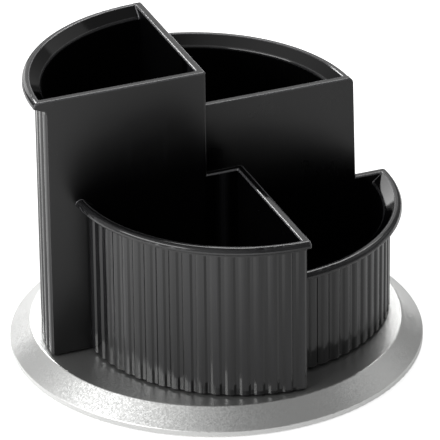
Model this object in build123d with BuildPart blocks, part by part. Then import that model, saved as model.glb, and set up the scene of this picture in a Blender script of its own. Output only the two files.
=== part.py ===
from build123d import *
import os
from math import cos, degrees, radians, sin

os.makedirs("parts", exist_ok=True)

# Base, in millimetres, with the desk at height zero and the turning axis on Z
base_diameter = 165.0
cone_width = 8.3
side_band_height = 2.4
top_edge_round = 1.0
band_edge_round = 0.5
shell_wall = 2.2
foot_stand = 0.8
plate_ledge = 2.6
well_clearance = 2.0
well_stand = 1.0
well_depth = 4.0

# Caddy: the low cup stands on the turning gap, and each next rim is a step above the one before
cup_inset = 9.6
low_cup_height = 44.8
front_step = 21.4
back_step = 23.1
tall_step = 21.5
pinwheel_x = 8.0
pinwheel_y = 6.8
flat_wall = 3.2
curved_wall = 2.8
reeds_per_quarter = 18
reed_crown = 0.12
reed_turn = 1.8
reed_groove_width = 3.1
reed_groove_depth = 0.55
reed_flank = 0.9
lip_overhang = 4.7
lip_height = 5.6
lip_roll = 1.9
lip_edge = 2.5
lip_throat = 1.2
lip_flare_width = 4.6
lip_flare_depth = 3.8
lip_edge_round = 0.5
lip_throat_round = 1.2
lip_inside_round = 1.5
fin_cover = 0.4
fin_lean = 1.0
rim_round = 0.6
corner_round = 0.8
floor_thickness = 2.6
turning_gap = 1.0

# Ball bearing between the base and the caddy
ball_diameter = 5.0
ball_count = 12
track_inset = 22.8
groove_depth = 0.5
ball_clearance = 0.15
race_thickness = 1.2
race_inner_width = 9.0
race_outer_width = 6.0
cage_thickness = 1.0
cage_width = 9.0

# Middle pivot
spigot_diameter = 14.0
running_clearance = 0.05
bush_wall = 2.4
bush_flange_width = 2.6
bush_flange_thickness = 1.0
pivot_play = 0.3
washer_overlap = 2.6
washer_thickness = 1.0
insert_wall = 1.2
insert_length = 7.0
insert_groove_width = 1.0
insert_groove_depth = 0.5
pivot_thread_diameter = 4.0
pivot_thread_length = 6.0
pivot_head_diameter = 8.0
pivot_head_height = 1.8
pivot_head_round = 0.6

# Bottom plate, feet and small countersunk screws
plate_thickness = 1.8
plate_recess = 0.2
plate_clearance = 0.2
access_clearance = 2.0
plate_screw_count = 4
plate_screw_turn = 45
plate_screw_diameter = 2.9
plate_screw_length = 5.6
boss_wall = 2.15
race_screw_count = 3
race_screw_turn = 30
race_screw_diameter = 2.0
race_screw_length = 2.8
race_screw_inset = 2.8
head_ratio_share = 1.9
head_slope_share = 0.9
thread_clearance = 0.03
hole_relief = 0.4
drive_length_share = 1.1
drive_width_share = 0.24
drive_depth_share = 0.3
foot_count = 4
foot_diameter = 12.0
foot_inset = 6.3
foot_round = 0.3

# Heights worked out from the sizes above, from the desk up
band_top_z = foot_stand + side_band_height
plate_under_z = foot_stand + plate_recess
plate_top_z = plate_under_z + plate_thickness
well_under_z = plate_top_z + well_stand
well_floor_z = well_under_z + shell_wall
base_height = well_floor_z + well_depth
top_under_z = base_height - shell_wall
spigot_end_z = well_under_z - pivot_play
washer_under_z = spigot_end_z - washer_thickness
ball_radius = ball_diameter / 2
lower_race_top_z = well_floor_z + race_thickness
ball_z = lower_race_top_z + ball_radius - groove_depth
upper_race_under_z = ball_z + ball_radius - groove_depth
floor_under_z = upper_race_under_z + race_thickness
floor_top_z = floor_under_z + floor_thickness
skirt_z = base_height + turning_gap
low_rim = skirt_z + low_cup_height
front_rim = low_rim + front_step
back_rim = front_rim + back_step
tall_rim = back_rim + tall_step

# Radii worked out from the sizes above
base_radius = base_diameter / 2
top_radius = base_radius - cone_width
seat_radius = base_radius - shell_wall
cup_radius = top_radius - cup_inset
inside_radius = cup_radius - curved_wall
strip_radius = cup_radius - reed_crown
valley_radius = strip_radius - reed_groove_depth
lip_radius = cup_radius + lip_overhang
wall_middle_radius = (inside_radius + valley_radius) / 2
lip_middle_radius = (inside_radius + lip_flare_width + lip_radius - lip_roll) / 2
track_radius = inside_radius - track_inset
race_inner_radius = track_radius - race_inner_width
race_outer_radius = track_radius + race_outer_width
race_screw_radius = race_inner_radius + race_screw_inset
well_radius = race_outer_radius + well_clearance
plate_screw_radius = (well_radius + top_radius) / 2
foot_radius = foot_diameter / 2
foot_ring_radius = seat_radius - foot_inset - foot_radius
spigot_radius = spigot_diameter / 2
bush_bore_radius = spigot_radius + running_clearance
bush_radius = bush_bore_radius + bush_wall
washer_radius = bush_radius + washer_overlap
pivot_hole_radius = pivot_thread_diameter / 2 + thread_clearance
insert_radius = pivot_thread_diameter / 2 + insert_wall
plate_pilot_radius = plate_screw_diameter / 2 + thread_clearance
race_pilot_radius = race_screw_diameter / 2 + thread_clearance
quarter_turn = 90
upright = (Align.CENTER, Align.CENTER, Align.MIN)


def sunk_head(diameter):
    """Radius and height of the cone under a countersunk head."""
    head_radius = diameter * head_ratio_share / 2
    return head_radius, (head_radius - diameter / 2) / head_slope_share


def cross_recess(diameter):
    """A cross cut into a screw head that lies on the present plane."""
    length = diameter * drive_length_share
    width = diameter * drive_width_share
    depth = diameter * drive_depth_share
    Box(length, width, depth, align=upright, mode=Mode.SUBTRACT)
    Box(width, length, depth, align=upright, mode=Mode.SUBTRACT)


def countersunk_screws(diameter, length, ring_radius, count, turn):
    """A ring of countersunk screws, heads flush with the present plane, points along its normal."""
    head_radius, head_height = sunk_head(diameter)
    with PolarLocations(ring_radius, count, start_angle=turn):
        Cone(head_radius, diameter / 2, head_height, align=upright)
        Cylinder(diameter / 2, length, align=upright)
        cross_recess(diameter)


def countersunk_holes(diameter, depth, ring_radius, count, turn):
    """The clearance holes for those screws, sunk from the present plane along its normal."""
    head_radius, head_height = sunk_head(diameter)
    hole_radius = diameter / 2 + thread_clearance
    with PolarLocations(ring_radius, count, start_angle=turn):
        Cone(head_radius + thread_clearance, hole_radius, head_height, align=upright, mode=Mode.SUBTRACT)
        Cylinder(hole_radius, depth, align=upright, mode=Mode.SUBTRACT)


# Base shell: a turned-over dish with a bearing well in its flat top and bosses for the bottom plate
with BuildPart() as base_shell:
    with BuildSketch(Plane.XZ) as shell_section:
        with BuildLine():
            Polyline(
                (bush_radius, well_floor_z),
                (well_radius, well_floor_z),
                (well_radius, base_height),
                (top_radius, base_height),
                (base_radius, band_top_z),
                (base_radius, foot_stand),
                (seat_radius, foot_stand),
                (seat_radius, plate_top_z),
                (seat_radius - plate_ledge, plate_top_z),
                (top_radius - shell_wall, top_under_z),
                (well_radius + shell_wall, top_under_z),
                (well_radius + shell_wall, well_under_z),
                (bush_radius, well_under_z),
                close=True,
            )
        make_face()
        fillet(shell_section.vertices().group_by(Axis.X)[-1], band_edge_round)
        fillet(shell_section.vertices().group_by(Axis.Y)[-1].sort_by(Axis.X)[-1], top_edge_round)
    revolve(axis=Axis.Z)
    with BuildSketch(Plane.XY.offset(plate_top_z)):
        with PolarLocations(plate_screw_radius, plate_screw_count, start_angle=plate_screw_turn):
            Circle(plate_pilot_radius + boss_wall)
    extrude(amount=top_under_z - plate_top_z)
    with BuildSketch(Plane.XY.offset(plate_top_z)):
        with PolarLocations(plate_screw_radius, plate_screw_count, start_angle=plate_screw_turn):
            Circle(plate_pilot_radius)
    extrude(amount=plate_screw_length - plate_thickness + hole_relief, mode=Mode.SUBTRACT)
    with BuildSketch(Plane.XY.offset(well_floor_z)):
        with PolarLocations(race_screw_radius, race_screw_count, start_angle=race_screw_turn):
            Circle(race_pilot_radius)
    extrude(amount=race_thickness - race_screw_length, mode=Mode.SUBTRACT)
base_shell.part.label = "base_shell"
export_step(base_shell.part, "parts/base_shell.step")

# Bottom plate: closes the base from below and leaves the pivot screw within reach
with BuildPart(Plane.XY.offset(plate_under_z)) as bottom_plate:
    with BuildSketch(Plane.XY.offset(plate_under_z)):
        Circle(seat_radius - plate_clearance)
        Circle(washer_radius + access_clearance, mode=Mode.SUBTRACT)
    extrude(amount=plate_thickness)
    countersunk_holes(
        plate_screw_diameter, plate_thickness, plate_screw_radius, plate_screw_count, plate_screw_turn
    )
bottom_plate.part.label = "bottom_plate"
export_step(bottom_plate.part, "parts/bottom_plate.step")

# Plate screws: countersunk, heads flush with the underside of the plate
with BuildPart(Plane.XY.offset(plate_under_z)) as plate_screws:
    countersunk_screws(
        plate_screw_diameter, plate_screw_length, plate_screw_radius, plate_screw_count, plate_screw_turn
    )
plate_screws.part.label = "plate_screws"
export_step(plate_screws.part, "parts/plate_screws.step")

# Rubber feet: round pads stuck under the plate
with BuildPart() as rubber_feet:
    with BuildSketch(Plane.XY):
        with PolarLocations(foot_ring_radius, foot_count):
            Circle(foot_radius)
    extrude(amount=plate_under_z)
    fillet(rubber_feet.edges().group_by(Axis.Z)[0], foot_round)
rubber_feet.part.label = "rubber_feet"
export_step(rubber_feet.part, "parts/rubber_feet.step")

# Races: flat steel rings with a ball groove, one screwed into the well, one under the caddy
race_middle = (race_inner_radius + race_outer_radius) / 2
race_width = race_outer_radius - race_inner_radius
race_screw_plane = Plane(origin=(0, 0, lower_race_top_z), x_dir=(1, 0, 0), z_dir=(0, 0, -1))
with BuildPart() as lower_race:
    with BuildSketch(Plane.XZ):
        with Locations((race_middle, well_floor_z)):
            Rectangle(race_width, race_thickness, align=(Align.CENTER, Align.MIN))
        with Locations((track_radius, ball_z)):
            Circle(ball_radius + ball_clearance, mode=Mode.SUBTRACT)
    revolve(axis=Axis.Z)
    with Locations(race_screw_plane):
        countersunk_holes(
            race_screw_diameter, race_thickness, race_screw_radius, race_screw_count, -race_screw_turn
        )
lower_race.part.label = "lower_race"
export_step(lower_race.part, "parts/lower_race.step")

with BuildPart() as lower_race_screws:
    with Locations(race_screw_plane):
        countersunk_screws(
            race_screw_diameter, race_screw_length, race_screw_radius, race_screw_count, -race_screw_turn
        )
lower_race_screws.part.label = "lower_race_screws"
export_step(lower_race_screws.part, "parts/lower_race_screws.step")

with BuildPart(Plane.XY.offset(upper_race_under_z)) as upper_race:
    with BuildSketch(Plane.XZ):
        with Locations((race_middle, upper_race_under_z)):
            Rectangle(race_width, race_thickness, align=(Align.CENTER, Align.MIN))
        with Locations((track_radius, ball_z)):
            Circle(ball_radius + ball_clearance, mode=Mode.SUBTRACT)
    revolve(axis=Axis.Z)
    countersunk_holes(
        race_screw_diameter, race_thickness, race_screw_radius, race_screw_count, race_screw_turn
    )
upper_race.part.label = "upper_race"
export_step(upper_race.part, "parts/upper_race.step")

with BuildPart(Plane.XY.offset(upper_race_under_z)) as upper_race_screws:
    countersunk_screws(
        race_screw_diameter, race_screw_length, race_screw_radius, race_screw_count, race_screw_turn
    )
upper_race_screws.part.label = "upper_race_screws"
export_step(upper_race_screws.part, "parts/upper_race_screws.step")

# Balls and the flat cage ring that spaces them
with BuildPart(Plane.XY.offset(ball_z)) as bearing_balls:
    with PolarLocations(track_radius, ball_count):
        Sphere(ball_radius)
bearing_balls.part.label = "bearing_balls"
export_step(bearing_balls.part, "parts/bearing_balls.step")

with BuildPart() as ball_cage:
    with BuildSketch(Plane.XY.offset(ball_z)):
        Circle(track_radius + cage_width / 2)
        Circle(track_radius - cage_width / 2, mode=Mode.SUBTRACT)
        with PolarLocations(track_radius, ball_count):
            Circle(ball_radius + ball_clearance, mode=Mode.SUBTRACT)
    extrude(amount=cage_thickness / 2, both=True)
ball_cage.part.label = "ball_cage"
export_step(ball_cage.part, "parts/ball_cage.step")

# Pivot bush: flanged sleeve pressed into the middle of the well
with BuildPart() as pivot_bush:
    with BuildSketch(Plane.XZ):
        with BuildLine():
            Polyline(
                (bush_bore_radius, well_under_z),
                (bush_radius, well_under_z),
                (bush_radius, well_floor_z),
                (bush_radius + bush_flange_width, well_floor_z),
                (bush_radius + bush_flange_width, well_floor_z + bush_flange_thickness),
                (bush_bore_radius, well_floor_z + bush_flange_thickness),
                close=True,
            )
        make_face()
    revolve(axis=Axis.Z)
pivot_bush.part.label = "pivot_bush"
export_step(pivot_bush.part, "parts/pivot_bush.step")

# Cups, from the tall one down: corner on the pinwheel, turns to the start of its quarter, and rim
cups = [
    ((-pinwheel_x, -pinwheel_y), quarter_turn, tall_rim),
    ((-pinwheel_x, pinwheel_y), 0, back_rim),
    ((pinwheel_x, -pinwheel_y), 2 * quarter_turn, front_rim),
    ((pinwheel_x, pinwheel_y), 3 * quarter_turn, low_rim),
]


def polar_point(radius, angle):
    """A point on a circle about the present origin, the angle in degrees."""
    return (radius * cos(radians(angle)), radius * sin(radians(angle)))


def quarter_plan(radius):
    """Plan of the four cup quarters with the rectangle between their corners."""
    with BuildSketch() as plan:
        for corner, start, rim in cups:
            with BuildLine():
                arc = CenterArc(corner, radius, start, quarter_turn)
                Polyline(arc @ 1, corner, arc @ 0)
            make_face()
        Rectangle(2 * pinwheel_x, 2 * pinwheel_y)
    return plan.sketch


# Curved cup walls: upright strips and flat-bottomed grooves outside, plain inside, with a rolled lip
reed_pitch = quarter_turn / reeds_per_quarter
half_groove = degrees(reed_groove_width / 2 / cup_radius)
half_valley = degrees((reed_groove_width / 2 - reed_flank) / cup_radius)
curved_walls = []
for corner, start, rim in cups:
    cup_plane = Plane(Location((*corner, 0), (0, 0, start)))
    lip_plane = Plane(origin=cup_plane.origin, x_dir=cup_plane.x_dir, z_dir=-cup_plane.y_dir)
    with BuildPart() as curved:
        with BuildSketch(cup_plane.offset(skirt_z)):
            with BuildLine():
                for reed in range(4 * reeds_per_quarter):
                    groove = reed_turn + reed * reed_pitch
                    next_groove = reed_turn + (reed + 1) * reed_pitch
                    strip = ThreePointArc(
                        polar_point(strip_radius, groove + half_groove),
                        polar_point(cup_radius, (groove + next_groove) / 2),
                        polar_point(strip_radius, next_groove - half_groove),
                    )
                    valley_start = polar_point(valley_radius, next_groove - half_valley)
                    valley_end = polar_point(valley_radius, next_groove + half_valley)
                    Line(polar_point(valley_radius, groove + half_valley), strip @ 0)
                    Line(strip @ 1, valley_start)
                    Line(valley_start, valley_end)
            make_face()
            Circle(inside_radius, mode=Mode.SUBTRACT)
        extrude(amount=rim - lip_height - skirt_z)
        with BuildSketch(lip_plane) as lip_section:
            with BuildLine():
                Polyline(
                    (inside_radius, rim - lip_height),
                    (cup_radius, rim - lip_height),
                    (cup_radius, rim - lip_height + lip_throat),
                    (lip_radius, rim - lip_edge),
                    (lip_radius, rim),
                    (inside_radius + lip_flare_width, rim),
                    (inside_radius, rim - lip_flare_depth),
                    close=True,
                )
            make_face()
            for point, rounding in [
                ((lip_radius, rim - lip_edge), lip_edge_round),
                ((lip_radius, rim), lip_roll),
                ((cup_radius, rim - lip_height + lip_throat), lip_throat_round),
                ((inside_radius, rim - lip_flare_depth), lip_inside_round),
            ]:
                fillet(lip_section.vertices().sort_by_distance(point)[0], rounding)
        revolve(axis=Axis(cup_plane.origin, (0, 0, 1)))
        with BuildSketch(cup_plane.offset(skirt_z)):
            with Locations((-flat_wall / 2, -flat_wall / 2)):
                Rectangle(lip_radius + flat_wall, lip_radius + flat_wall, align=(Align.MIN, Align.MIN))
        extrude(amount=rim - skirt_z, mode=Mode.INTERSECT)
    curved_walls.append(curved.part)


def wall_end(centre, side, rim):
    """The end of a flat wall that runs into a curved wall, from its foot up to its rim."""
    return [
        (centre + side * wall_middle_radius, skirt_z),
        (centre + side * wall_middle_radius, rim - lip_height),
        (centre + side * lip_middle_radius, rim - lip_edge / 2),
        (centre + side * lip_middle_radius, rim),
    ]


# Flat walls as outlines seen from the front or from the side, each stepping down between two rims
half_wall = flat_wall / 2
fin_radius = lip_radius + fin_cover
left_front_wall = [
    (pinwheel_x + half_wall, skirt_z),
    (pinwheel_x + half_wall, front_rim),
    (half_wall - pinwheel_x, front_rim),
    (half_wall - pinwheel_x, tall_rim),
    *reversed(wall_end(-pinwheel_x, -1, tall_rim)),
]
right_back_wall = [
    (-pinwheel_x, skirt_z),
    (-pinwheel_x, back_rim),
    (fin_radius - pinwheel_x, back_rim),
    (fin_radius - pinwheel_x + fin_lean, low_rim),
    *reversed(wall_end(pinwheel_x, 1, low_rim)),
]
back_left_wall = [
    (-pinwheel_y - half_wall, skirt_z),
    (-pinwheel_y - half_wall, tall_rim),
    (fin_radius - pinwheel_y, tall_rim),
    (fin_radius - pinwheel_y + fin_lean, back_rim),
    *reversed(wall_end(pinwheel_y, 1, back_rim)),
]
front_right_wall = [
    (half_wall - pinwheel_y, skirt_z),
    (half_wall - pinwheel_y, front_rim),
    *reversed(wall_end(-pinwheel_y, -1, front_rim)),
]
fin_round = lip_roll + fin_cover
wall_outlines = [
    (Plane.XZ.offset(pinwheel_y), left_front_wall, []),
    (Plane.XZ.offset(-pinwheel_y), right_back_wall, [(fin_radius - pinwheel_x, back_rim)]),
    (Plane.YZ.offset(-pinwheel_x), back_left_wall, [(fin_radius - pinwheel_y, tall_rim)]),
    (Plane.YZ.offset(pinwheel_x), front_right_wall, []),
]

# Edges to round: two upright corners, then each rim without its short edges at the wall ends
free_corners = [
    (half_wall - pinwheel_x, -pinwheel_y - half_wall, tall_rim),
    (pinwheel_x + half_wall, half_wall - pinwheel_y, front_rim),
]
across_wall = flat_wall + rim_round
beside_fin = 2 * pinwheel_y
rounded_rims = [
    (tall_rim, across_wall),
    (back_rim, beside_fin),
    (front_rim, across_wall),
    (low_rim, across_wall),
]


def rolls_over(edge):
    """True for the edge where a rim runs smoothly into the roll of its lip."""
    return edge.geom_type == GeomType.CIRCLE and edge.radius > inside_radius + lip_flare_width


# Caddy: curved walls, flat walls and floor in one moulding, with a spigot under its middle
with BuildPart() as caddy:
    for curved_part in curved_walls:
        add(curved_part)
    for wall_plane, outline, fin_tops in wall_outlines:
        with BuildSketch(wall_plane) as wall_face:
            with BuildLine():
                Polyline(*outline, close=True)
            make_face()
            for fin_top in fin_tops:
                fillet(wall_face.vertices().sort_by_distance(fin_top)[0], fin_round)
        extrude(amount=half_wall, both=True)
    with BuildSketch(Plane.XY.offset(skirt_z)):
        add(quarter_plan(wall_middle_radius))
    extrude(amount=floor_top_z - skirt_z)
    with BuildSketch(Plane.XY.offset(skirt_z)):
        add(quarter_plan(inside_radius))
    extrude(amount=floor_under_z - skirt_z, mode=Mode.SUBTRACT)
    with BuildSketch(Plane.XY.offset(spigot_end_z)):
        Circle(spigot_radius)
    extrude(amount=floor_under_z - spigot_end_z)
    with BuildSketch(Plane.XY.offset(spigot_end_z)):
        Circle(insert_radius)
    extrude(amount=insert_length + hole_relief, mode=Mode.SUBTRACT)
    with BuildSketch(Plane.XY.offset(floor_under_z)):
        with PolarLocations(race_screw_radius, race_screw_count, start_angle=race_screw_turn):
            Circle(race_pilot_radius)
    extrude(amount=race_screw_length - race_thickness, mode=Mode.SUBTRACT)
    for apex in free_corners:
        fillet(caddy.edges().filter_by(Axis.Z).sort_by_distance(apex)[0], corner_round)
    for rim, shortest in rounded_rims:
        rim_face = caddy.faces().filter_by(Axis.Z).sort_by(lambda face: abs(face.center().Z - rim))[0]
        sharp_edges = rim_face.edges().filter_by(lambda edge: not rolls_over(edge))
        fillet(sharp_edges.filter_by(lambda edge: edge.length > shortest), rim_round)
caddy.part.label = "caddy"
export_step(caddy.part, "parts/caddy.step")

# Threaded insert in the spigot, with a grip groove round its middle
insert_end_z = spigot_end_z + insert_length
groove_start_z = spigot_end_z + (insert_length - insert_groove_width) / 2
groove_end_z = groove_start_z + insert_groove_width
with BuildPart() as hub_insert:
    with BuildSketch(Plane.XZ):
        with BuildLine():
            Polyline(
                (pivot_hole_radius, spigot_end_z),
                (insert_radius, spigot_end_z),
                (insert_radius, groove_start_z),
                (insert_radius - insert_groove_depth, groove_start_z),
                (insert_radius - insert_groove_depth, groove_end_z),
                (insert_radius, groove_end_z),
                (insert_radius, insert_end_z),
                (pivot_hole_radius, insert_end_z),
                close=True,
            )
        make_face()
    revolve(axis=Axis.Z)
hub_insert.part.label = "hub_insert"
export_step(hub_insert.part, "parts/hub_insert.step")

# Retaining washer, clamped on the end of the spigot
with BuildPart() as pivot_washer:
    with BuildSketch(Plane.XY.offset(washer_under_z)):
        Circle(washer_radius)
        Circle(pivot_hole_radius, mode=Mode.SUBTRACT)
    extrude(amount=washer_thickness)
pivot_washer.part.label = "pivot_washer"
export_step(pivot_washer.part, "parts/pivot_washer.step")

# Pivot screw: pan head with a cross recess, from below into the insert
with BuildPart(Plane.XY.offset(washer_under_z - pivot_head_height)) as pivot_screw:
    Cylinder(pivot_head_diameter / 2, pivot_head_height, align=upright)
    fillet(pivot_screw.edges().group_by(Axis.Z)[0], pivot_head_round)
    Cylinder(
        pivot_thread_diameter / 2, pivot_head_height + washer_thickness + pivot_thread_length, align=upright
    )
    cross_recess(pivot_thread_diameter)
pivot_screw.part.label = "pivot_screw"
export_step(pivot_screw.part, "parts/pivot_screw.step")
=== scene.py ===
import math

import bpy
from mathutils import Matrix, Vector


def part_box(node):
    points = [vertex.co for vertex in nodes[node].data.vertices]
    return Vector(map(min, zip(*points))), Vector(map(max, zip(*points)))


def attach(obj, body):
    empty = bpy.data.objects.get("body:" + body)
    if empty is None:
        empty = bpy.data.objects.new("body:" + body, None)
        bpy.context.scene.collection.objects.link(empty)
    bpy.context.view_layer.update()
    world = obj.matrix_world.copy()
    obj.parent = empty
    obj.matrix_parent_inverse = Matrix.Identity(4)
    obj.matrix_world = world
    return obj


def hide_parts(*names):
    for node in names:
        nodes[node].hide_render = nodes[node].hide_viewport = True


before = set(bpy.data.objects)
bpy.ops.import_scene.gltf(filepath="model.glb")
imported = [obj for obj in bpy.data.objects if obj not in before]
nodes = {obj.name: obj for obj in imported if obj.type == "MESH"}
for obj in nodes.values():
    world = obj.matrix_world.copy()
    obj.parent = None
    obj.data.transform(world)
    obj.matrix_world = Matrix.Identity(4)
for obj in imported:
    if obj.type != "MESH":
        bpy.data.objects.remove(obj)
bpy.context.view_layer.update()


# Base shell: the round foot, a shallow dish turned over, injection moulded in ABS.
# It is sprayed with silver metallic lacquer: fine aluminium flakes under a thin clear coat.
def linear(hex_colour):
    """An sRGB hex colour as linear RGBA."""
    parts = [int(hex_colour[i:i + 2], 16) / 255 for i in (1, 3, 5)]
    return [c / 12.92 if c <= 0.04045 else ((c + 0.055) / 1.055) ** 2.4 for c in parts] + [1.0]


def add(tree, kind, settings=None, **inputs):
    """Adds a node; inputs are named with _ for spaces, or i and a number, and are values or sockets."""
    node = tree.nodes.new(kind)
    for name, value in (settings or {}).items():
        setattr(node, name, value)
    for name, value in inputs.items():
        key = int(name[1:]) if name[0] == "i" and name[1:].isdigit() else name.replace("_", " ")
        if isinstance(value, bpy.types.NodeSocket):
            tree.links.new(value, node.inputs[key])
        else:
            node.inputs[key].default_value = value
    return node


def material(name):
    """A bare node material, its tree and the Object coordinates that its patterns read."""
    made = bpy.data.materials.new(name)
    made.use_nodes = True
    made.node_tree.nodes.clear()
    return made, made.node_tree, add(made.node_tree, "ShaderNodeTexCoord").outputs["Object"]


def per_mm(size_mm):
    """The texture scale whose features are this many millimetres across."""
    return 1000.0 / size_mm


def edge_mask(tree, reach_mm):
    """White along rounded edges, black on open surfaces; the finishes paint these edges lighter, as a
    painted highlight with some wear where hands and cloths reach.
    """
    soft = add(tree, "ShaderNodeBevel", {"samples": 6}, Radius=reach_mm / 1000)
    sharp = add(tree, "ShaderNodeNewGeometry")
    bend = add(tree, "ShaderNodeVectorMath", {"operation": "DISTANCE"},
               i0=soft.outputs["Normal"], i1=sharp.outputs["Normal"])
    mask = add(tree, "ShaderNodeMapRange", Value=bend.outputs["Value"], From_Min=0.02, From_Max=0.3)
    return mask.outputs[0]


def dress(finish, *node_names):
    """Puts a finish on CAD nodes."""
    for name in node_names:
        nodes[name].data.materials.clear()
        nodes[name].data.materials.append(finish)


def silver_lacquer():
    """Silver lacquer on moulded ABS: each flake tilts a little, so the sheen is broken by a fine
    grain. Real flakes are under 0.1 mm; they are drawn at 0.45 mm so that the grain shows."""
    made, tree, where = material("silver_lacquer_on_abs")
    flakes = add(tree, "ShaderNodeTexVoronoi", Vector=where, Scale=per_mm(0.45))
    tilt = add(tree, "ShaderNodeVectorMath", {"operation": "MULTIPLY_ADD"},
               i0=flakes.outputs["Color"], i1=(0.1, 0.1, 0.1), i2=(-0.05, -0.05, -0.05))
    peel = add(tree, "ShaderNodeTexNoise", Vector=where, Scale=per_mm(2.6), Detail=2.0)
    skin = add(tree, "ShaderNodeBump", Height=peel.outputs[0], Strength=0.05, Distance=0.0002)
    leaning = add(tree, "ShaderNodeVectorMath", i0=skin.outputs[0], i1=tilt.outputs[0])
    normal = add(tree, "ShaderNodeVectorMath", {"operation": "NORMALIZE"}, i0=leaning.outputs[0])
    cloud = add(tree, "ShaderNodeTexNoise", Vector=where, Scale=per_mm(38), Detail=3.0)
    # The edges are painted a paler silver: a painted highlight along them, with some wear.
    edge_wear_and_highlight = edge_mask(tree, 0.7)
    paint = add(tree, "ShaderNodeMix", {"data_type": "RGBA"}, Factor=cloud.outputs[0],
                i6=linear("#eaebea"), i7=linear("#f3f3f1"))
    colour = add(tree, "ShaderNodeMix", {"data_type": "RGBA"}, Factor=edge_wear_and_highlight,
                 i6=paint.outputs[2], i7=linear("#f6f6f4"))
    rough = add(tree, "ShaderNodeMapRange", Value=cloud.outputs[0], To_Min=0.3, To_Max=0.37)
    paint_film = add(tree, "ShaderNodeBsdfPrincipled", Base_Color=colour.outputs[2], Metallic=0.92,
                     Roughness=rough.outputs[0], Normal=normal.outputs[0],
                     Coat_Weight=0.25, Coat_Roughness=0.12)
    add(tree, "ShaderNodeOutputMaterial", Surface=paint_film.outputs[0])
    return made


dress(silver_lacquer(), "base_shell")


# Bottom plate: the flat disc that closes the base, moulded in black ABS with a spark-eroded grain.
# It drops into the ledge of the shell and is held by four screws.
def grained_abs():
    """Black ABS with a sandy moulded grain of about 0.5 mm that scatters the light."""
    made, tree, where = material("grained_black_abs")
    grain = add(tree, "ShaderNodeTexNoise", Vector=where, Scale=per_mm(0.5), Detail=3.0)
    dust = add(tree, "ShaderNodeTexNoise", Vector=where, Scale=per_mm(24), Detail=4.0)
    colour = add(tree, "ShaderNodeMix", {"data_type": "RGBA"}, Factor=dust.outputs[0],
                 i6=linear("#151517"), i7=linear("#242427"))
    sand = add(tree, "ShaderNodeBump", Height=grain.outputs[0], Strength=0.5, Distance=0.0002)
    rough = add(tree, "ShaderNodeMapRange", Value=grain.outputs[0], To_Min=0.5, To_Max=0.72)
    plastic = add(tree, "ShaderNodeBsdfPrincipled", Base_Color=colour.outputs[2],
                  Roughness=rough.outputs[0], IOR=1.54, Normal=sand.outputs[0])
    add(tree, "ShaderNodeOutputMaterial", Surface=plastic.outputs[0])
    return made


dress(grained_abs(), "bottom_plate")


# Plate screws: four countersunk self-tapping screws with a cross recess, of zinc-plated steel.
# They are driven from below, flush with the plate, into bosses of the shell.
def turned(name, profile, steps, lift=None):
    """A closed mesh turned about Z from (radius, height) points that start and end on the axis.
    lift(x, y, z) moves a point's height, for forms that aren't round."""
    raised = lift or (lambda x, y, z: z)
    verts = [(0, 0, raised(0, 0, profile[0][1]))]
    for radius, height in profile[1:-1]:
        for step in range(steps):
            angle = math.tau * step / steps
            x, y = radius * math.cos(angle), radius * math.sin(angle)
            verts.append((x, y, raised(x, y, height)))
    verts.append((0, 0, profile[-1][1]))
    first, last, rings = 0, len(verts) - 1, len(profile) - 2
    faces = []
    for step in range(steps):
        after = (step + 1) % steps
        faces.append((first, 1 + after, 1 + step))
        faces.append((last, 1 + (rings - 1) * steps + step, 1 + (rings - 1) * steps + after))
        for ring in range(rings - 1):
            low, high = 1 + ring * steps, 1 + (ring + 1) * steps
            faces.append((low + step, low + after, high + after, high + step))
    mesh = bpy.data.meshes.new(name)
    mesh.from_pydata(verts, [], faces)
    return mesh


def ring_tree():
    """Geometry nodes that set a piece round a circle, each copy turned to face outwards."""
    tree = bpy.data.node_groups.new("pieces_round_a_circle", "GeometryNodeTree")
    tree.is_modifier = True
    for name, kind in (("Piece", "Geometry"), ("Count", "Int"), ("Ring Radius", "Float"),
                       ("Turn", "Float"), ("Finish", "Material")):
        tree.interface.new_socket(name, in_out="INPUT", socket_type="NodeSocket" + kind)
    tree.interface.new_socket("Ring", in_out="OUTPUT", socket_type="NodeSocketGeometry")
    given = add(tree, "NodeGroupInput").outputs
    circle = add(tree, "GeometryNodeMeshCircle", Vertices=given["Count"], Radius=given["Ring Radius"])
    share = add(tree, "ShaderNodeMath", {"operation": "DIVIDE"}, i0=math.tau, i1=given["Count"])
    angle = add(tree, "ShaderNodeMath", {"operation": "MULTIPLY"},
                i0=add(tree, "GeometryNodeInputIndex").outputs[0], i1=share.outputs[0])
    outward = add(tree, "FunctionNodeEulerToRotation",
                  Euler=add(tree, "ShaderNodeCombineXYZ", Z=angle.outputs[0]).outputs[0])
    placed = add(tree, "GeometryNodeInstanceOnPoints", Points=circle.outputs[0], Instance=given["Piece"],
                 Rotation=outward.outputs[0])
    start = add(tree, "FunctionNodeEulerToRotation",
                Euler=add(tree, "ShaderNodeCombineXYZ", Z=given["Turn"]).outputs[0])
    ring = add(tree, "GeometryNodeTransform", Geometry=placed.outputs[0], Rotation=start.outputs[0])
    real = add(tree, "GeometryNodeRealizeInstances", Geometry=ring.outputs[0])
    finished = add(tree, "GeometryNodeSetMaterial", Geometry=real.outputs[0], Material=given["Finish"])
    add(tree, "NodeGroupOutput", Ring=finished.outputs[0])
    return tree


piece_ring = ring_tree()
crease_angle = math.radians(35)


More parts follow.
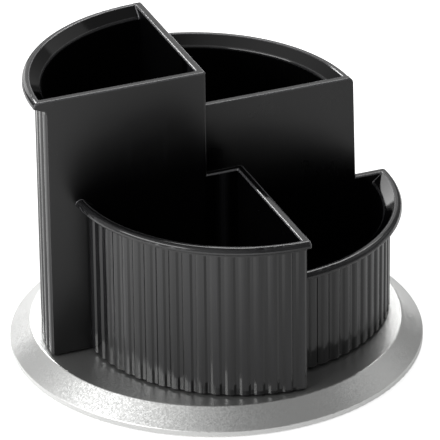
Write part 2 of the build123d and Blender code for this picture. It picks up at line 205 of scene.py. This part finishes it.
def ring_of(name, piece_mesh, count, ring_radius, turn, finish):
    """One plain mesh object of count copies of a piece, set round the Z axis by the ring nodes."""
    source = bpy.data.objects.new(name + "_source", piece_mesh)
    bpy.context.scene.collection.objects.link(source)
    modifier = source.modifiers.new("ring", "NODES")
    modifier.node_group = piece_ring
    values = {"Count": count, "Ring Radius": ring_radius, "Turn": turn, "Finish": finish}
    for item in piece_ring.interface.items_tree:
        if item.name in values:
            modifier[item.identifier] = values[item.name]
    evaluated = source.evaluated_get(bpy.context.evaluated_depsgraph_get())
    mesh = bpy.data.meshes.new_from_object(evaluated)
    mesh.name = name
    source.modifiers.remove(modifier)
    bpy.data.objects.remove(source)
    mesh.shade_smooth()
    mesh.set_sharp_from_angle(angle=crease_angle)
    made = bpy.data.objects.new(name, mesh)
    bpy.context.scene.collection.objects.link(made)
    return made


def zinc_steel():
    """Zinc-plated steel: a pale blue-grey metal with a faint crystal mottle of about 0.8 mm."""
    made, tree, where = material("zinc_plated_steel")
    mottle = add(tree, "ShaderNodeTexVoronoi", Vector=where, Scale=per_mm(0.8))
    tone = add(tree, "ShaderNodeSeparateColor", Color=mottle.outputs["Color"])
    colour = add(tree, "ShaderNodeMix", {"data_type": "RGBA"}, Factor=tone.outputs[0],
                 i6=linear("#a9acb0"), i7=linear("#c3c5c7"))
    rough = add(tree, "ShaderNodeMapRange", Value=tone.outputs[1], To_Min=0.24, To_Max=0.4)
    metal = add(tree, "ShaderNodeBsdfPrincipled", Base_Color=colour.outputs[2], Metallic=1.0,
                Roughness=rough.outputs[0])
    add(tree, "ShaderNodeOutputMaterial", Surface=metal.outputs[0])
    return made


screw_steel = zinc_steel()
screw_low, screw_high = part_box("plate_screws")
screw_count = 4
screw_radius = 0.00145
head_share, head_flat_share, cone_slope = 1.9, 0.97, 0.9
screw_head = head_share * screw_radius
screw_cone = (screw_head - screw_radius) / cone_slope
screw_length = screw_high[2] - screw_low[2]
screw_ring = (screw_high[0] - screw_head) * math.sqrt(2)
thread_pitch = 0.0009
neck_share, root_share, point_share = 0.8, 0.78, 0.6
root_height_share, crest_height_share, point_height_share = 0.3, 0.65, 0.2
recess_arm = 1.1 * screw_radius
recess_half_width = 0.27 * screw_radius
recess_depth = 0.6 * screw_radius
recess_end_share, recess_side_share = 0.35, 0.5
recess_rings = 22
same_height = 1e-6


def cross_recess(x, y, z):
    """The driver recess: two crossed slots whose walls slope in to a flat floor."""
    if z > screw_low[2] + same_height:
        return z
    along, across = max(abs(x), abs(y)), min(abs(x), abs(y))
    from_end = (recess_arm - along) / (recess_end_share * recess_arm)
    from_side = (recess_half_width - across) / (recess_side_share * recess_half_width)
    return z + recess_depth * min(max(min(from_end, from_side), 0.0), 1.0)


def screw_profile():
    """Head face in fine rings for the recess, then the cone, the thread turns and the blunt point."""
    face = screw_low[2]
    end = face + screw_length
    flat_radius = screw_head * head_flat_share
    points = [(flat_radius * ring / recess_rings, face) for ring in range(recess_rings + 1)]
    points.append((screw_head, face + (1 - head_flat_share) * screw_head))
    points.append((screw_radius * neck_share, face + screw_cone))
    turns = int((screw_length - screw_cone - thread_pitch) / thread_pitch)
    for turn in range(turns):
        base = face + screw_cone + turn * thread_pitch
        points.append((screw_radius * root_share, base + root_height_share * thread_pitch))
        points.append((screw_radius, base + crest_height_share * thread_pitch))
    return points + [(screw_radius * point_share, end - point_height_share * thread_pitch), (0, end)]


screw_mesh = turned("screw", screw_profile(), steps=56, lift=cross_recess)
plate_screws = ring_of("cross_head_screws", screw_mesh, count=screw_count, ring_radius=screw_ring,
                       turn=math.radians(45), finish=screw_steel)
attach(plate_screws, "base")
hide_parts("plate_screws")


# Rubber feet: four round die-moulded pads of black rubber, stuck under the plate.
# They keep the base from sliding; the rim is rounded and the sole has a shallow grip ring.
def matt_rubber():
    """Black rubber, dull, with a dusty bloom and a pebbled skin of about 0.4 mm."""
    made, tree, where = material("matt_black_rubber")
    skin = add(tree, "ShaderNodeTexNoise", Vector=where, Scale=per_mm(0.4), Detail=2.0)
    bloom = add(tree, "ShaderNodeTexNoise", Vector=where, Scale=per_mm(5), Detail=4.0)
    colour = add(tree, "ShaderNodeMix", {"data_type": "RGBA"}, Factor=bloom.outputs[0],
                 i6=linear("#1a1a1a"), i7=linear("#333331"))
    pebble = add(tree, "ShaderNodeBump", Height=skin.outputs[0], Strength=0.4, Distance=0.0001)
    rubber = add(tree, "ShaderNodeBsdfPrincipled", Base_Color=colour.outputs[2], Roughness=0.85, IOR=1.5,
                 Normal=pebble.outputs[0])
    add(tree, "ShaderNodeOutputMaterial", Surface=rubber.outputs[0])
    return made


foot_low, foot_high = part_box("rubber_feet")
foot_count = 4
foot_radius = 0.006
foot_rounding = 0.0003
rounding_share = 0.3
foot_top_break = 0.00005
grip_ring = 0.0035
grip_mouth, grip_floor, grip_depth = 0.0006, 0.0002, 0.00025
sole = (
    (0, 0),
    (grip_ring - grip_mouth, 0),
    (grip_ring - grip_floor, grip_depth),
    (grip_ring + grip_floor, grip_depth),
    (grip_ring + grip_mouth, 0),
    (foot_radius - foot_rounding, 0),
    (foot_radius - rounding_share * foot_rounding, rounding_share * foot_rounding),
    (foot_radius, foot_rounding),
)
foot_profile = [(radius, foot_low[2] + height) for radius, height in sole]
foot_profile.append((foot_radius, foot_high[2] - foot_top_break))
foot_profile.append((foot_radius - foot_top_break, foot_high[2]))
foot_profile.append((0, foot_high[2]))
foot_mesh = turned("foot", foot_profile, steps=64)
feet = ring_of("stick_on_feet", foot_mesh, count=foot_count, ring_radius=foot_high[0] - foot_radius,
               turn=0.0, finish=matt_rubber())
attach(feet, "base")
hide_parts("rubber_feet")


# Ball races, balls and race screws: flat steel rings with a rolled groove, one screwed into the well of
# the base and one under the caddy, each by three small countersunk screws, with steel balls between.
def greased_steel():
    """Rolled steel with turning marks round the axis, about 0.3 mm apart, under a film of grease."""
    made, tree, where = material("greased_race_steel")
    flat = add(tree, "ShaderNodeVectorMath", {"operation": "MULTIPLY"}, i0=where, i1=(1.0, 1.0, 0.0))
    out_from_axis = add(tree, "ShaderNodeVectorMath", {"operation": "LENGTH"}, i0=flat.outputs[0])
    marks = add(tree, "ShaderNodeTexNoise", {"noise_dimensions": "1D"}, W=out_from_axis.outputs["Value"],
                Scale=per_mm(0.3), Detail=2.0)
    smear = add(tree, "ShaderNodeTexNoise", Vector=where, Scale=per_mm(9), Detail=3.0)
    colour = add(tree, "ShaderNodeMix", {"data_type": "RGBA"}, Factor=smear.outputs[0],
                 i6=linear("#8d8e8f"), i7=linear("#b4b4b2"))
    lines = add(tree, "ShaderNodeBump", Height=marks.outputs[0], Strength=0.15, Distance=0.0001)
    rough = add(tree, "ShaderNodeMapRange", Value=smear.outputs[0], To_Min=0.18, To_Max=0.36)
    metal = add(tree, "ShaderNodeBsdfPrincipled", Base_Color=colour.outputs[2], Metallic=1.0,
                Roughness=rough.outputs[0], Normal=lines.outputs[0])
    add(tree, "ShaderNodeOutputMaterial", Surface=metal.outputs[0])
    return made


dress(greased_steel(), "lower_race", "upper_race", "bearing_balls")
dress(screw_steel, "lower_race_screws", "upper_race_screws")


# Ball cage and pivot bush: natural acetal mouldings, the cage a flat ring that spaces the balls, the
# bush a flanged sleeve pressed into the middle of the well for the spigot to turn in.
def natural_acetal():
    """Undyed acetal: milky, waxy, a little light goes in and spreads under the surface."""
    made, tree, where = material("natural_acetal")
    flow = add(tree, "ShaderNodeTexNoise", Vector=where, Scale=per_mm(12), Detail=2.0)
    colour = add(tree, "ShaderNodeMix", {"data_type": "RGBA"}, Factor=flow.outputs[0],
                 i6=linear("#d9d8d1"), i7=linear("#e6e5df"))
    rough = add(tree, "ShaderNodeMapRange", Value=flow.outputs[0], To_Min=0.34, To_Max=0.46)
    wax = add(tree, "ShaderNodeBsdfPrincipled", Base_Color=colour.outputs[2], Roughness=rough.outputs[0],
              IOR=1.48, Subsurface_Weight=0.15, Subsurface_Radius=(0.002, 0.002, 0.0018))
    add(tree, "ShaderNodeOutputMaterial", Surface=wax.outputs[0])
    return made


dress(natural_acetal(), "ball_cage", "pivot_bush")


# Caddy: four quarter-round cups round a pinwheel of flat walls, one moulding in black ABS from a
# polished tool. The spigot under its middle stands in the bush of the base.
def polished_abs():
    """Black ABS: deep black, polished with slightly wavy reflections on the outside, satin inside.
    Draw marks run up the outside where the tool let go, and there are rub marks and dust specks.
    The rims look eased, and their upward edges are painted pale grey: a painted highlight, with some rub
    wear."""
    made, tree, where = material("polished_black_abs")
    facing = add(tree, "ShaderNodeTexCoord").outputs["Normal"]
    tilt = add(tree, "ShaderNodeSeparateXYZ", Vector=facing)
    upward = add(tree, "ShaderNodeMapRange", Value=tilt.outputs["Z"], From_Min=0.05, From_Max=0.2)
    flat = add(tree, "ShaderNodeVectorMath", {"operation": "MULTIPLY"}, i0=where, i1=(1.0, 1.0, 0.0))
    outward = add(tree, "ShaderNodeVectorMath", {"operation": "NORMALIZE"}, i0=flat.outputs[0])
    faces_out = add(tree, "ShaderNodeVectorMath", {"operation": "DOT_PRODUCT"},
                    i0=outward.outputs[0], i1=facing)

    # Skin: slow waves where the walls shrank and a fine peel, with the rims' corners eased by 1.2 mm
    shrink = add(tree, "ShaderNodeTexNoise", Vector=where, Scale=per_mm(16), Detail=1.0)
    peel = add(tree, "ShaderNodeTexNoise", Vector=where, Scale=per_mm(1.6), Detail=2.0)
    height = add(tree, "ShaderNodeMath", {"operation": "MULTIPLY_ADD"},
                 i0=peel.outputs[0], i1=0.06, i2=shrink.outputs[0])
    sharp = add(tree, "ShaderNodeNewGeometry")
    eased = add(tree, "ShaderNodeBevel", {"samples": 8}, Radius=0.0012)
    rims_eased = add(tree, "ShaderNodeMix", {"data_type": "VECTOR"}, Factor=upward.outputs[0],
                     i4=sharp.outputs["Normal"], i5=eased.outputs["Normal"])
    skin = add(tree, "ShaderNodeBump", Height=height.outputs[0], Strength=0.06, Distance=0.0008,
               Normal=rims_eased.outputs[1])

    # Draw marks: upright streaks about 5 mm wide, with finer ones in them, on faces that look outwards
    outside = add(tree, "ShaderNodeMapRange", Value=faces_out.outputs["Value"], From_Min=0.93, From_Max=0.97)
    drawn = add(tree, "ShaderNodeMapping", Vector=where, Scale=(1.0, 1.0, 0.015))
    streaks = add(tree, "ShaderNodeTexNoise", Vector=drawn.outputs[0], Scale=per_mm(5), Detail=5.0,
                  Roughness=0.7)
    marks = add(tree, "ShaderNodeMapRange", Value=streaks.outputs[0], From_Min=0.36, From_Max=0.68,
                To_Max=outside.outputs[0])
    ridged = add(tree, "ShaderNodeBump", Height=marks.outputs[0], Strength=0.45, Distance=0.0003,
                 Normal=skin.outputs[0])

    # Gloss: dulled a little by rub marks and handling, and satin on upright faces that don't look outwards
    upright = add(tree, "ShaderNodeMapping", Vector=where, Scale=(1.0, 1.0, 0.06), Rotation=(0.2, 0.1, 0.0))
    rubs = add(tree, "ShaderNodeTexNoise", Vector=upright.outputs[0], Scale=per_mm(1.1), Detail=4.0)
    scuffed = add(tree, "ShaderNodeMapRange", Value=rubs.outputs[0], From_Min=0.58, From_Max=0.78)
    smudge = add(tree, "ShaderNodeTexNoise", Vector=where, Scale=per_mm(30), Detail=4.0)
    handled = add(tree, "ShaderNodeMapRange", Value=smudge.outputs[0], From_Min=0.4, From_Max=0.75,
                  To_Min=0.07, To_Max=0.12)
    rough = add(tree, "ShaderNodeMath", {"operation": "MULTIPLY_ADD"},
                i0=scuffed.outputs[0], i1=0.07, i2=handled.outputs[0])
    level = add(tree, "ShaderNodeMath", {"operation": "ABSOLUTE"}, i0=tilt.outputs["Z"])
    satin = add(tree, "ShaderNodeMapRange", Value=level.outputs[0], From_Max=0.3, To_Min=0.2, To_Max=0.0)
    inside = add(tree, "ShaderNodeMapRange", Value=faces_out.outputs["Value"], From_Min=0.74, From_Max=0.775,
                 To_Min=satin.outputs[0], To_Max=0.0)
    dulled = add(tree, "ShaderNodeMath", i0=inside.outputs[0], i1=rough.outputs[0])

    # Colour: black resin, paler in the draw marks, with a painted highlight and some rub wear along the
    # rims, and specks of dust
    edge_wear_and_highlight = add(tree, "ShaderNodeMath", {"operation": "MULTIPLY"},
               i0=edge_mask(tree, 0.6), i1=upward.outputs[0])
    specks = add(tree, "ShaderNodeTexVoronoi", Vector=where, Scale=per_mm(5))
    dust = add(tree, "ShaderNodeMapRange", Value=specks.outputs["Distance"], From_Min=0.045, From_Max=0.03)
    resin = add(tree, "ShaderNodeMix", {"data_type": "RGBA"}, Factor=marks.outputs[0],
                i6=linear("#030304"), i7=linear("#222224"))
    body = add(tree, "ShaderNodeMix", {"data_type": "RGBA"}, Factor=edge_wear_and_highlight.outputs[0],
               i6=resin.outputs[2], i7=linear("#98989b"))
    colour = add(tree, "ShaderNodeMix", {"data_type": "RGBA"}, Factor=dust.outputs[0],
                 i6=body.outputs[2], i7=linear("#2b2b2b"))
    plastic = add(tree, "ShaderNodeBsdfPrincipled", Base_Color=colour.outputs[2],
                  Roughness=dulled.outputs[0], IOR=1.54, Normal=ridged.outputs[0])
    add(tree, "ShaderNodeOutputMaterial", Surface=plastic.outputs[0])
    return made


dress(polished_abs(), "caddy")


# Threaded insert, washer and pivot screw: a brass sleeve with a grip groove, set in the spigot, takes
# the screw from below, and the steel washer under its head keeps the caddy from lifting off.
def turned_brass():
    """Bright turned brass with tool lines round the axis, about 0.5 mm apart, brown in patches.
    A wave texture repeats every tau / 20 of its scaled length."""
    made, tree, where = material("turned_brass")
    lines = add(tree, "ShaderNodeTexWave", {"bands_direction": "Z"}, Vector=where,
                Scale=per_mm(0.4935) * math.tau / 20)
    tarnish = add(tree, "ShaderNodeTexNoise", Vector=where, Scale=per_mm(3), Detail=3.0)
    colour = add(tree, "ShaderNodeMix", {"data_type": "RGBA"}, Factor=tarnish.outputs[0],
                 i6=linear("#9c7a3c"), i7=linear("#c9a75a"))
    cut = add(tree, "ShaderNodeBump", Height=lines.outputs["Fac"], Strength=0.1, Distance=0.00005)
    metal = add(tree, "ShaderNodeBsdfPrincipled", Base_Color=colour.outputs[2], Metallic=1.0, Roughness=0.28,
                Normal=cut.outputs[0])
    add(tree, "ShaderNodeOutputMaterial", Surface=metal.outputs[0])
    return made


dress(turned_brass(), "hub_insert")
dress(screw_steel, "pivot_washer", "pivot_screw")


# Studio: a sheet of matt white paper in a white room, under soft lamps. A wide one is on the left, four
# are behind (a dim wide one, a low one, a small bright one and a high one a little to the right), and a
# faint one fills the right. The paper has a painted glow that only reflections see, brightest on the left
# and behind, which the black plastic mirrors.
def white_paper():
    """Matt white paper. The camera sees a lit white floor that keeps the object's shadow. What the object
    mirrors of it is a painted glow that goes up to white towards the lamps."""
    made, tree, where = material("white_paper")
    seen = add(tree, "ShaderNodeLightPath")
    # Painted reflection: the paper glows for glossy rays only, rising towards the lamps on the left and
    # behind.
    side = add(tree, "ShaderNodeVectorMath", {"operation": "DOT_PRODUCT"}, i0=where, i1=(-0.93, -0.36, 0.0))
    towards_lamps = add(tree, "ShaderNodeMapRange", {"interpolation_type": "SMOOTHSTEP"},
                        Value=side.outputs["Value"], From_Min=0.02, From_Max=0.24, To_Min=0.13, To_Max=1.0)
    behind = add(tree, "ShaderNodeVectorMath", {"operation": "DOT_PRODUCT"}, i0=where, i1=(0.37, 0.93, 0.0))
    under_back_lamps = add(tree, "ShaderNodeMapRange", {"interpolation_type": "SMOOTHSTEP"},
                           Value=behind.outputs["Value"], From_Min=0.05, From_Max=0.25, To_Max=1.0)
    painted_sheen = add(tree, "ShaderNodeMath", {"operation": "MAXIMUM"},
                i0=towards_lamps.outputs[0], i1=under_back_lamps.outputs[0])
    mirrored = add(tree, "ShaderNodeMath", {"operation": "MULTIPLY"},
                   i0=seen.outputs["Is Glossy Ray"], i1=painted_sheen.outputs[0])
    glow = add(tree, "ShaderNodeMath", {"operation": "MULTIPLY_ADD"},
               i0=seen.outputs["Is Camera Ray"], i1=0.75, i2=mirrored.outputs[0])
    matt = add(tree, "ShaderNodeBsdfDiffuse", Color=linear("#f2f2f2"))
    lit = add(tree, "ShaderNodeEmission", Color=linear("#ffffff"), Strength=glow.outputs[0])
    both = add(tree, "ShaderNodeAddShader", i0=matt.outputs[0], i1=lit.outputs[0])
    below = add(tree, "ShaderNodeNewGeometry")
    clear = add(tree, "ShaderNodeBsdfTransparent")
    sheet = add(tree, "ShaderNodeMixShader", i0=below.outputs["Backfacing"],
                i1=both.outputs[0], i2=clear.outputs[0])
    add(tree, "ShaderNodeOutputMaterial", Surface=sheet.outputs[0])
    return made


floor_reach = 3.0
floor_mesh = bpy.data.meshes.new("floor")
floor_mesh.from_pydata([(-floor_reach, -floor_reach, 0), (floor_reach, -floor_reach, 0),
                        (floor_reach, floor_reach, 0), (-floor_reach, floor_reach, 0)], [], [(0, 1, 2, 3)])
floor_mesh.materials.append(white_paper())
floor = bpy.data.objects.new("floor", floor_mesh)
bpy.context.scene.collection.objects.link(floor)

aim = Vector((0.0, 0.0, 0.06))


def soft_lamp(name, azimuth, elevation, distance, width, height, watts):
    """An area lamp seen from the object at that azimuth and elevation, facing it."""
    lamp = bpy.data.lights.new(name, "AREA")
    lamp.shape = "RECTANGLE"
    lamp.size = width
    lamp.size_y = height
    lamp.energy = watts
    turn, rise = math.radians(azimuth), math.radians(elevation)
    away = Vector((math.cos(turn) * math.cos(rise), math.sin(turn) * math.cos(rise), math.sin(rise)))
    made = bpy.data.objects.new(name, lamp)
    made.location = aim + distance * away
    made.rotation_euler = away.to_track_quat("Z", "Y").to_euler()
    made.visible_camera = False
    bpy.context.scene.collection.objects.link(made)


soft_lamp("key_lamp", azimuth=189, elevation=36, distance=1.2, width=0.95, height=0.3, watts=5.4)
soft_lamp("back_lamp", azimuth=74, elevation=26, distance=1.5, width=0.95, height=0.5, watts=1.2)
soft_lamp("back_left_lamp", azimuth=100, elevation=18, distance=1.3, width=0.45, height=0.55, watts=1.7)
soft_lamp("rim_lamp", azimuth=92, elevation=37, distance=1.3, width=0.36, height=0.16, watts=2.4)
soft_lamp("top_lamp", azimuth=59, elevation=47, distance=1.3, width=0.6, height=0.45, watts=3.8)
soft_lamp("fill_lamp", azimuth=5, elevation=35, distance=1.4, width=0.9, height=0.7, watts=0.6)

world = bpy.data.worlds.new("white_room")
bpy.context.scene.world = world
world.use_nodes = True
world.node_tree.nodes.clear()
room = world.node_tree
direction = add(room, "ShaderNodeTexCoord").outputs["Generated"]
leftward = add(room, "ShaderNodeVectorMath", {"operation": "DOT_PRODUCT"},
               i0=direction, i1=(-0.85, -0.1, 0.35))
walls = add(room, "ShaderNodeMapRange", Value=leftward.outputs["Value"], From_Min=0.35, From_Max=0.92,
            To_Min=0.18, To_Max=0.85)
eye = add(room, "ShaderNodeLightPath").outputs["Is Camera Ray"]
brightness = add(room, "ShaderNodeMix", {"data_type": "FLOAT"}, Factor=eye, i2=walls.outputs[0], i3=1.0)
glow = add(room, "ShaderNodeBackground", Color=linear("#ffffff"), Strength=brightness.outputs[0])
add(room, "ShaderNodeOutputWorld", Surface=glow.outputs[0])


# Camera: the photograph's own viewpoint, in front, a little to the left and 28 degrees above the desk.
# A long lens from 1.9 m away narrows the upright edges as little as the photograph does.
camera_data = bpy.data.cameras.new("camera")
camera_data.sensor_width = 36.0
camera_data.lens = 393.7
camera_data.clip_end = 20.0
right = Vector((0.92774, -0.37307, -0.01045))
up = Vector((0.18286, 0.42998, 0.88413))
turn = Matrix((right, up, right.cross(up))).transposed().to_4x4()
place = Matrix.Translation((-0.61677, -1.56378, 0.94003))
camera = bpy.data.objects.new("camera", camera_data)
camera.matrix_world = place @ turn
bpy.context.scene.collection.objects.link(camera)
bpy.context.scene.camera = camera
bpy.context.scene.view_settings.view_transform = "Standard"
